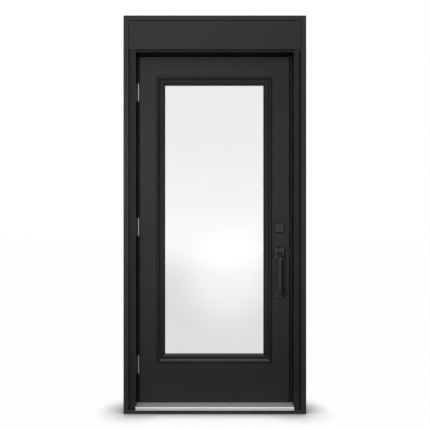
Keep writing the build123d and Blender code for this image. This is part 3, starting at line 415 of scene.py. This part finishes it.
def floor_surface():
    """White studio floor that keeps the object's shadow, with painted shade behind the door for rays
    through the glass and in front of it for mirrored rays.
    """
    material, tap = new_material("studio_floor")
    paper = noise(tap, at_scale(tap, UNSTRETCHED), scale=80.0, detail=3.0)
    matt = principled(
        tap, Base_Color=between(tap, paper, grey(0.34), grey(0.38)), Roughness=0.9, Specular_IOR_Level=0.1,
    )
    open_sky = tap.make("ShaderNodeAmbientOcclusion", None, {"Distance": CONTACT_REACH}, out="AO")
    glow = tap.make("ShaderNodeEmission", None, {"Strength": 1.0})
    behind = tap.make("ShaderNodeSeparateXYZ", None, {0: at_scale(tap, UNSTRETCHED)}, out=1)
    in_front = 0 - behind
    # Painted shade: less glow behind the door for rays through the glass, and less from 0.4 m in front of
    # it for mirrored rays.
    far_share = fading(tap, behind, FLOOR_FADE, (FLOOR_GLOW_NEAR, 1.0))
    far_share += fading(tap, in_front, FLOOR_FRONT_FADE, (0.0, 1.0))
    mirrored_share = fading(tap, in_front, FLOOR_MIRRORED_FADE, FLOOR_MIRRORED)
    mirrored_share += fading(tap, in_front, FLOOR_NEAR_FADE, (FLOOR_MIRRORED_NEAR, 0.0))
    camera_ray, through_ray, glossy_ray = kinds_of_ray(tap)
    share = camera_ray * FLOOR_GLOW_SEEN + through_ray * far_share + glossy_ray * mirrored_share
    lit = tap.math("MINIMUM", share, 1.0) * open_sky ** CONTACT_POWER
    show(tap, tap.make("ShaderNodeMixShader", None, {0: lit, 1: matt, 2: glow}))
    return material


def card_glow(tap, share, level):
    """Light added to what is behind a card, for mirrored rays and not for those through both panes."""
    depth = tap.make("ShaderNodeLightPath", out="Transmission Depth")
    first_face = tap.math("LESS_THAN", depth, FIRST_FACE_DEPTH)
    outer_pane = tap.math("LESS_THAN", depth, BOTH_PANES_DEPTH) - first_face
    share = share * (first_face * (1 / INNER_FACES) + outer_pane)
    glow = tap.make("ShaderNodeEmission", None, {"Strength": level * INNER_FACES})
    clear = tap.make("ShaderNodeBsdfTransparent")
    both = tap.make("ShaderNodeAddShader", None, {0: glow, 1: clear})
    show(tap, tap.make("ShaderNodeMixShader", None, {0: share, 1: clear, 2: both}))


def band_surface():
    """Long card, brightest along one level line and fading slowly above it."""
    material, tap = new_material("studio_band")
    place = tap.make("ShaderNodeUVMap", {"uv_map": "spread"})
    across = tap.make("ShaderNodeSeparateXYZ", None, {0: place}, out=0)
    up = tap.make("ShaderNodeSeparateXYZ", None, {0: place}, out=1)
    ends = fading(tap, tap.math("ABSOLUTE", across, 0.0), BAND_END_FADE, (1.0, 0.0))
    below = fading(tap, up, (-BAND_DROP / BAND_RISE, 0.0), (0.0, 1.0))
    above = (1 - tap.math("MAXIMUM", up, 0.0)) ** BAND_FALL_POWER
    card_glow(tap, ends * below * above, BAND_LEVEL)
    return material


def round_surface():
    """Round soft-edged card."""
    material, tap = new_material("studio_round")
    place = tap.make("ShaderNodeUVMap", {"uv_map": "spread"})
    edge = tap.make("ShaderNodeTexGradient", {"gradient_type": "SPHERICAL"}, {"Vector": place}, out=1)
    card_glow(tap, fading(tap, edge, ROUND_EDGE_FADE, (0.0, 1.0)), ROUND_LEVEL)
    return material


def ring(radius, height):
    """Points of a circle at one height."""
    turns = [2 * math.pi * side / SCREW_SIDES for side in range(SCREW_SIDES)]
    return [(radius * math.cos(turn), radius * math.sin(turn), height) for turn in turns]


def cross(reach, half_width, height):
    """Corners of a cross at one height: two at each arm's end and the one before the next arm."""
    arm = [(reach, -half_width), (reach, half_width), (half_width, half_width)]
    corners = []
    for _ in range(RECESS_ARMS):
        corners += [(x, y, height) for x, y in arm]
        arm = [(-y, x) for x, y in arm]
    return corners


def bridge(low, high, count):
    """Quads between two closed rows of points, each given by its first point."""
    steps = [(side, (side + 1) % count) for side in range(count)]
    return [(low + a, low + b, high + b, high + a) for a, b in steps]


def head_face(rim, top, count):
    """Faces between the head's rim and the recess: one at each arm's end, one between two arms."""
    quarter, corners = SCREW_SIDES // RECESS_ARMS, count // RECESS_ARMS
    faces = []
    for arm in range(RECESS_ARMS):
        steps = range(arm * corners, (arm + 1) * corners + 1)
        first, second, inner, following = (top + step % count for step in steps)
        outer = [rim + (arm * quarter + step) % SCREW_SIDES for step in range(-1, quarter)]
        faces.append([first, *outer[:3], second])
        faces.append([second, *outer[2:], following, inner])
    return faces


def recess_floor(floor, count):
    """The middle of the recess's floor and its arms."""
    corners = count // RECESS_ARMS
    inner = [floor + arm * corners + corners - 1 for arm in range(RECESS_ARMS)]
    arms = [
        [floor + arm * corners, floor + arm * corners + 1, inner[arm], inner[arm - 1]]
        for arm in range(RECESS_ARMS)
    ]
    return [inner] + arms


def screw_mesh(name, sizes, finish):
    """One closed countersunk screw with a cross recess, its head's face at zero and looking up."""
    head_radius, shank_radius, length = sizes
    reach, half_width = head_radius * RECESS_REACH_SHARE, head_radius * RECESS_HALF_WIDTH_SHARE
    rows = [
        ring(shank_radius, -length),
        ring(shank_radius, shank_radius - head_radius),
        ring(head_radius, 0.0),
        cross(reach, half_width, 0.0),
        cross(reach, half_width, -head_radius * RECESS_DEPTH_SHARE),
    ]
    tip, neck, rim, top, floor = (sum(len(row) for row in rows[:index]) for index in range(len(rows)))
    count = len(rows[-1])
    faces = bridge(tip, neck, SCREW_SIDES) + bridge(neck, rim, SCREW_SIDES) + bridge(top, floor, count)
    faces += head_face(rim, top, count) + recess_floor(floor, count)
    faces.append(list(range(neck - 1, tip - 1, -1)))
    mesh = bpy.data.meshes.new(name)
    mesh.from_pydata([point for row in rows for point in row], [], faces)
    mesh.materials.append(finish)
    return mesh


def screw_tree():
    """A screw at each point, each turned its own way."""
    tree = bpy.data.node_groups.new("countersunk_screws", "GeometryNodeTree")
    inputs = {"Places": "NodeSocketGeometry", "Screw": "NodeSocketObject", "Seed": "NodeSocketInt"}
    for name, kind in inputs.items():
        tree.interface.new_socket(name, in_out="INPUT", socket_type=kind)
    tree.interface.new_socket("Screws", in_out="OUTPUT", socket_type="NodeSocketGeometry")
    tap = Tap(tree)
    given_node = tree.nodes.new("NodeGroupInput")
    given = {name: Tap(tree, given_node.outputs[name]) for name in inputs}
    screw = tap.make("GeometryNodeObjectInfo", None, {"Object": given["Screw"]}, out="Geometry")
    # 2, 3 and 1 are this node's sockets for plain numbers.
    limits = {2: 0.0, 3: math.pi}
    turn = tap.make(
        "FunctionNodeRandomValue", {"data_type": "FLOAT"}, {**limits, "Seed": given["Seed"]}, out=1
    )
    way = tap.make("GeometryNodeInputNamedAttribute", {"data_type": "FLOAT_VECTOR"}, {"Name": "facing"})
    facing = tap.make("FunctionNodeAlignRotationToVector", {"axis": "Z"}, {"Vector": way})
    spin = tap.make("FunctionNodeAxisAngleToRotation", None, {"Axis": (0.0, 0.0, 1.0), "Angle": turn})
    spun = tap.make("FunctionNodeRotateRotation", {"rotation_space": "LOCAL"}, {0: facing, 1: spin})
    placed = tap.make(
        "GeometryNodeInstanceOnPoints", None,
        {"Points": given["Places"], "Instance": screw, "Rotation": spun},
    )
    real = tap.make("GeometryNodeRealizeInstances", None, {"Geometry": placed})
    tap.make("NodeGroupOutput", None, {"Screws": real})
    return tree


def islands(node):
    """The corner points of each separate solid in a CAD node, always in the mesh's own order."""
    merged = bmesh.new()
    merged.from_mesh(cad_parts[node].data)
    bmesh.ops.remove_doubles(merged, verts=merged.verts, dist=MERGE_DISTANCE)
    seen = set()
    found = []
    for start in merged.verts:
        if start in seen:
            continue
        seen.add(start)
        reached = [start]
        for vert in reached:
            near = [edge.other_vert(vert) for edge in vert.link_edges]
            new = [other for other in near if other not in seen]
            seen.update(new)
            reached.extend(new)
        found.append([vert.co.copy() for vert in reached])
    merged.free()
    return found


def measure_screw(points):
    """Head centre, facing, head radius, shank radius and shank length of one screw."""
    low = Vector(min(p[a] for p in points) for a in range(3))
    high = Vector(max(p[a] for p in points) for a in range(3))
    axis = max(range(3), key=lambda a: high[a] - low[a])
    line = Vector(1.0 if a == axis else 0.0 for a in range(3))
    middle = (low + high) / 2

    def radius_at(end):
        near = [p for p in points if abs(p[axis] - end) < END_REACH]
        return max((p - middle - line * (p - middle).dot(line)).length for p in near)

    way = 1.0 if radius_at(high[axis]) > radius_at(low[axis]) else -1.0
    head_end, tip_end = (high[axis], low[axis]) if way > 0 else (low[axis], high[axis])
    head = middle + line * (head_end - middle[axis])
    sizes = (radius_at(head_end), radius_at(tip_end), abs(head_end - tip_end))
    return head, line * way, *(round(size, MEASURE_DIGITS) for size in sizes)


def linked(name, data):
    """A new object in the scene."""
    piece = bpy.data.objects.new(name, data)
    bpy.context.scene.collection.objects.link(piece)
    return piece


def screw_set(node, body, tree, finish):
    """Cross-recessed screws in the places of a CAD node's plain ones, which are all of one size."""
    screws = [measure_screw(points) for points in islands(node)]
    places = bpy.data.meshes.new(f"dressed_{node}")
    places.from_pydata([screw[0] for screw in screws], [], [])
    facing = places.attributes.new("facing", "FLOAT_VECTOR", "POINT")
    facing.data.foreach_set("vector", [value for screw in screws for value in screw[1]])
    piece = linked(f"dressed_{node}", places)
    one = linked(f"one_of_{node}", screw_mesh(f"one_of_{node}", screws[0][2:], finish))
    modifier = piece.modifiers.new("screws", "NODES")
    modifier.node_group = tree
    values = {"Screw": one, "Seed": SPIN_SEED}
    for item in tree.interface.items_tree:
        if item.in_out == "INPUT" and item.name in values:
            modifier[item.identifier] = values[item.name]
    depsgraph = bpy.context.evaluated_depsgraph_get()
    plain = bpy.data.meshes.new_from_object(piece.evaluated_get(depsgraph))
    piece.modifiers.clear()
    piece.data = plain
    bpy.data.objects.remove(one)
    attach(piece, body)
    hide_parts(node)


def dress(nodes, material):
    """Gives CAD nodes their finish."""
    for node in nodes:
        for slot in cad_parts[node].material_slots:
            slot.material = material


def flat_mesh(name, corners, material):
    mesh = bpy.data.meshes.new(name)
    mesh.from_pydata(corners, [], [(0, 1, 2, 3)])
    mesh.materials.append(material)
    piece = linked(name, mesh)
    return piece


def add_floor():
    corners = [
        (x * FLOOR_HALF, y * FLOOR_HALF, -FLOOR_DROP) for x, y in ((-1, -1), (1, -1), (1, 1), (-1, 1))
    ]
    flat_mesh("studio_floor", corners, floor_surface())


def add_card(name, place, half, rise, drop, material):
    """Upright card with its own map of places: 1 is its half width across, and its rise up."""
    x, y, z = place
    left, right, high, low = x - half, x + half, z + rise, z - drop
    corners = [(left, y, high), (right, y, high), (right, y, low), (left, y, low)]
    card = flat_mesh(name, corners, material)
    spread = card.data.uv_layers.new(name="spread")
    for uv, corner in zip(spread.data, corners):
        uv.uv = ((corner[0] - x) / half, (corner[2] - z) / rise)
    card.visible_camera = card.visible_diffuse = card.visible_shadow = False


def add_cards():
    add_card("studio_band", BAND_PLACE, BAND_HALF, BAND_RISE, BAND_DROP, band_surface())
    add_card("studio_round", ROUND_PLACE, ROUND_HALF, ROUND_HALF, ROUND_HALF, round_surface())


def add_softbox(name, place, aim, size, level, mirrored=False):
    """Softbox of a given radiance, which either lights the object or is only mirrored in its gloss."""
    lamp = bpy.data.lights.new(name, "AREA")
    lamp.shape = "RECTANGLE"
    lamp.size, lamp.size_y = size
    lamp.energy = level * math.pi * size[0] * size[1]
    piece = linked(name, lamp)
    piece.location = place
    piece.rotation_euler = (Vector(aim) - Vector(place)).to_track_quat("-Z", "Y").to_euler()
    piece.visible_camera = piece.visible_transmission = False
    piece.visible_glossy = mirrored
    piece.visible_diffuse = not mirrored


def light_room():
    """White surroundings for what is seen directly, dimmer for what lights the object."""
    world = bpy.data.worlds.new("studio")
    bpy.context.scene.world = world
    world.use_nodes = True
    world.node_tree.nodes.clear()
    tap = Tap(world.node_tree)
    way = tap.make("ShaderNodeTexCoord", out="Generated")
    near_side = tap.make(
        "ShaderNodeVectorMath", {"operation": "DOT_PRODUCT"}, {0: way, 1: BRIGHT_SIDE}, out="Value"
    )
    mirrored = fading(tap, near_side, BRIGHT_FADE, BRIGHT_LEVELS, kind="LINEAR")
    camera_ray, through_ray, glossy_ray = kinds_of_ray(tap)
    other_ray = 1 - (camera_ray + through_ray + glossy_ray)
    level = camera_ray + through_ray + glossy_ray * mirrored + other_ray * ROOM_LEVEL
    room = tap.make("ShaderNodeBackground", None, {"Color": WHITE, "Strength": level})
    tap.make("ShaderNodeOutputWorld", None, {"Surface": room})
    add_softbox("key_softbox", *KEY_SOFTBOX)
    add_softbox("top_softbox", *TOP_SOFTBOX, mirrored=True)
    add_softbox("back_softbox", *BACK_SOFTBOX)


def add_camera():
    camera = bpy.data.cameras.new("front")
    camera.sensor_width = SENSOR_WIDTH
    camera.lens = SENSOR_WIDTH * FOCAL_PIXELS / IMAGE_PIXELS
    camera.shift_y = HORIZON_PIXELS_BELOW_MIDDLE / IMAGE_PIXELS
    piece = linked("front", camera)
    piece.location = CAMERA_PLACE
    piece.rotation_euler = (math.radians(90), 0.0, 0.0)
    bpy.context.scene.camera = piece


def dress_door():
    dress(PAINTED_STEEL, sprayed_paint("door_paint", level=0.026, roughness=0.3, specular=0.1, peel=0.05))
    # The hinge and strike jambs get a darker copy of the casing paint: painted shade in the reveals beside
    # the leaf.
    dress(PAINTED_POSTS, brushed_paint("post_paint_painted_shade", level=0.011, along="z"))
    # The head jamb and head moulding get a darker, less glossy copy of the casing paint: painted shade
    # under the head.
    dress(PAINTED_HEAD, brushed_paint("head_paint_painted_shade", level=0.009, along="x", specular=0.05))
    # The upright bands get a lighter copy of the paint on the top band and head panel: painted light.
    dress(UPRIGHT_CASING, brushed_paint("upright_casing_paint_painted_light", level=0.03, along="z"))
    # The upright mouldings get a darker copy of the band paint: painted shade on their slopes.
    dress(UPRIGHT_MOULDINGS, brushed_paint("upright_moulding_paint_painted_shade", level=0.021, along="z"))
    dress(LEVEL_CASING, brushed_paint("level_casing_paint", level=0.026, along="x"))
    dress(GLAZING_FRAMES, moulded_frame())
    dress(PANES, pane_glass())
    dress(SEALS, seal_rubber())
    dress(("sill_cover",), brushed_aluminium())
    dress(("sill_base",), sill_composite())
    dress(PAINTED_STILES, brushed_paint("stile_paint", level=0.022, along="z", roughness=0.36, grain=0.12))
    dress(("lock_block",), bare_timber("upright_timber", "z"))
    dress(LEVEL_TIMBER, bare_timber("level_timber", "x"))
    dress(("foam_core",), poured_foam())
    dress(HARDWARE, hardware_coat())
    dress(HINGES, satin_steel("hinge_steel", level=0.5, roughness=0.34, along="z"))
    lock_steel = satin_steel("lock_steel", level=0.55, roughness=0.34, along="y")
    dress(LOCK_STEEL, lock_steel)
    tree = screw_tree()
    for node, body in SCREW_SETS:
        screw_set(node, body, tree, lock_steel)


bpy.context.scene.view_settings.view_transform = "Standard"
dress_door()
add_floor()
add_cards()
light_room()
add_camera()
